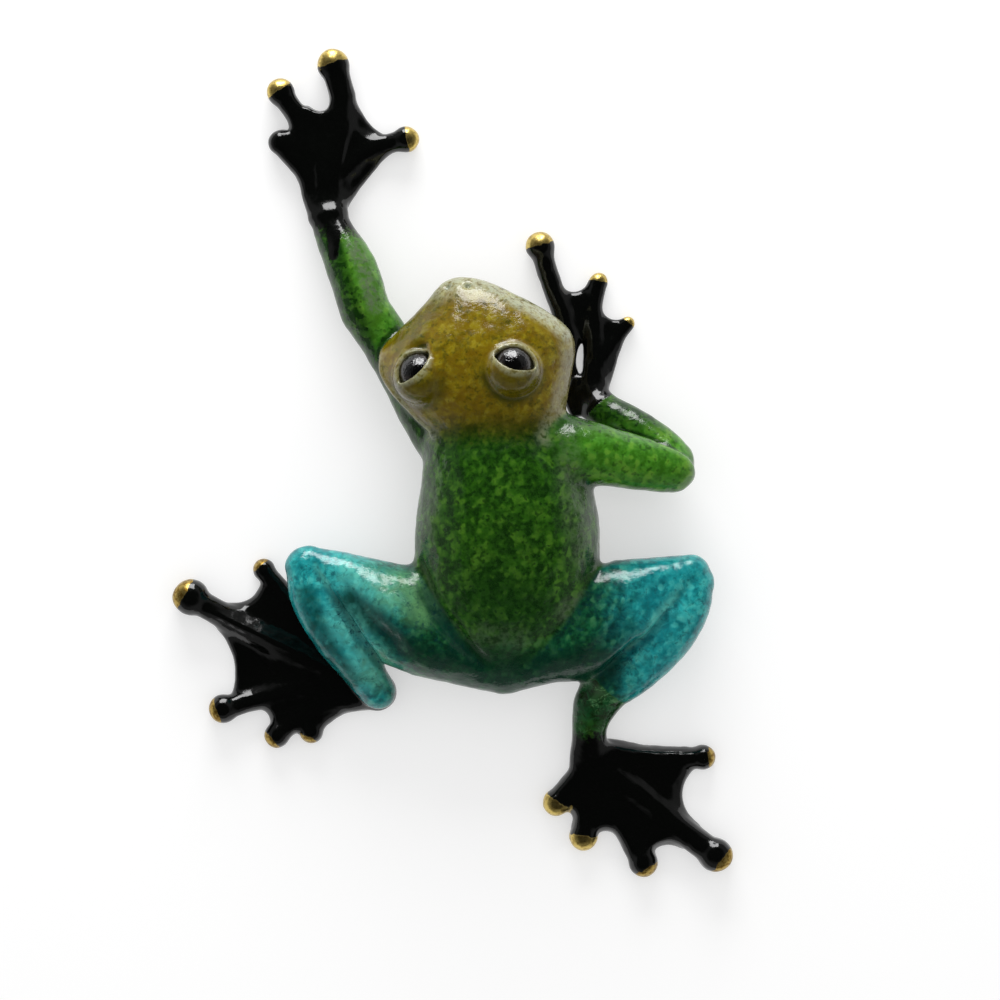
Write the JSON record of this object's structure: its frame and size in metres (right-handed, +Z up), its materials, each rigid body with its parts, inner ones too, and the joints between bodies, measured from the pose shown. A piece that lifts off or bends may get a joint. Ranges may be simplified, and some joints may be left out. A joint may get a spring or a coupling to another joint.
{
  "type": "frog figurine",
  "caption": "Cast bronze tree frog figurine crawling flat on webbed hands and feet, with a mottled green patina, black feet and bright toe pads.",
  "frame": {"origin": "on the table under the middle of the figure's bounding box", "axes": "+Y the way the frog heads, +X to its right, +Z up out of its back"},
  "size_m": [0.0732, 0.1082, 0.0176],
  "materials": {
    "head_patina": "mustard and olive mottled patina under clear lacquer",
    "trunk_patina": "mid green mottled patina under clear lacquer",
    "arm_patina": "leaf green mottled patina under clear lacquer",
    "leg_patina": "green to turquoise mottled patina under clear lacquer",
    "black_enamel": "gloss black enamel",
    "eye_glass": "opaque gloss black",
    "polished_pad": "bare metal polished bright"
  },
  "bodies": {
    "root": {"head": "head_patina", "trunk": "trunk_patina", "left_upper_arm": "arm_patina", "left_forearm": "arm_patina", "right_upper_arm": "arm_patina", "right_forearm": "arm_patina", "left_thigh": "leg_patina", "right_thigh": "leg_patina", "left_shank": "leg_patina", "right_shank": "leg_patina", "left_hand": "black_enamel", "right_hand": "black_enamel", "left_foot": "black_enamel", "right_foot": "black_enamel", "left_finger_tip_1": "black_enamel", "left_eye": "eye_glass", "right_eye": "eye_glass", "left_finger_tip_2": "polished_pad", "left_finger_tip_3": "polished_pad", "left_finger_tip_4": "polished_pad", "right_finger_tip_1": "polished_pad", "right_finger_tip_2": "polished_pad", "right_finger_tip_3": "polished_pad", "right_finger_tip_4": "polished_pad", "left_toe_tip_1": "polished_pad", "left_toe_tip_2": "polished_pad", "left_toe_tip_3": "polished_pad", "left_toe_tip_4": "polished_pad", "left_toe_tip_5": "polished_pad", "right_toe_tip_1": "polished_pad", "right_toe_tip_2": "polished_pad", "right_toe_tip_3": "polished_pad", "right_toe_tip_4": "polished_pad", "right_toe_tip_5": "polished_pad"}
  },
  "joints": []
}
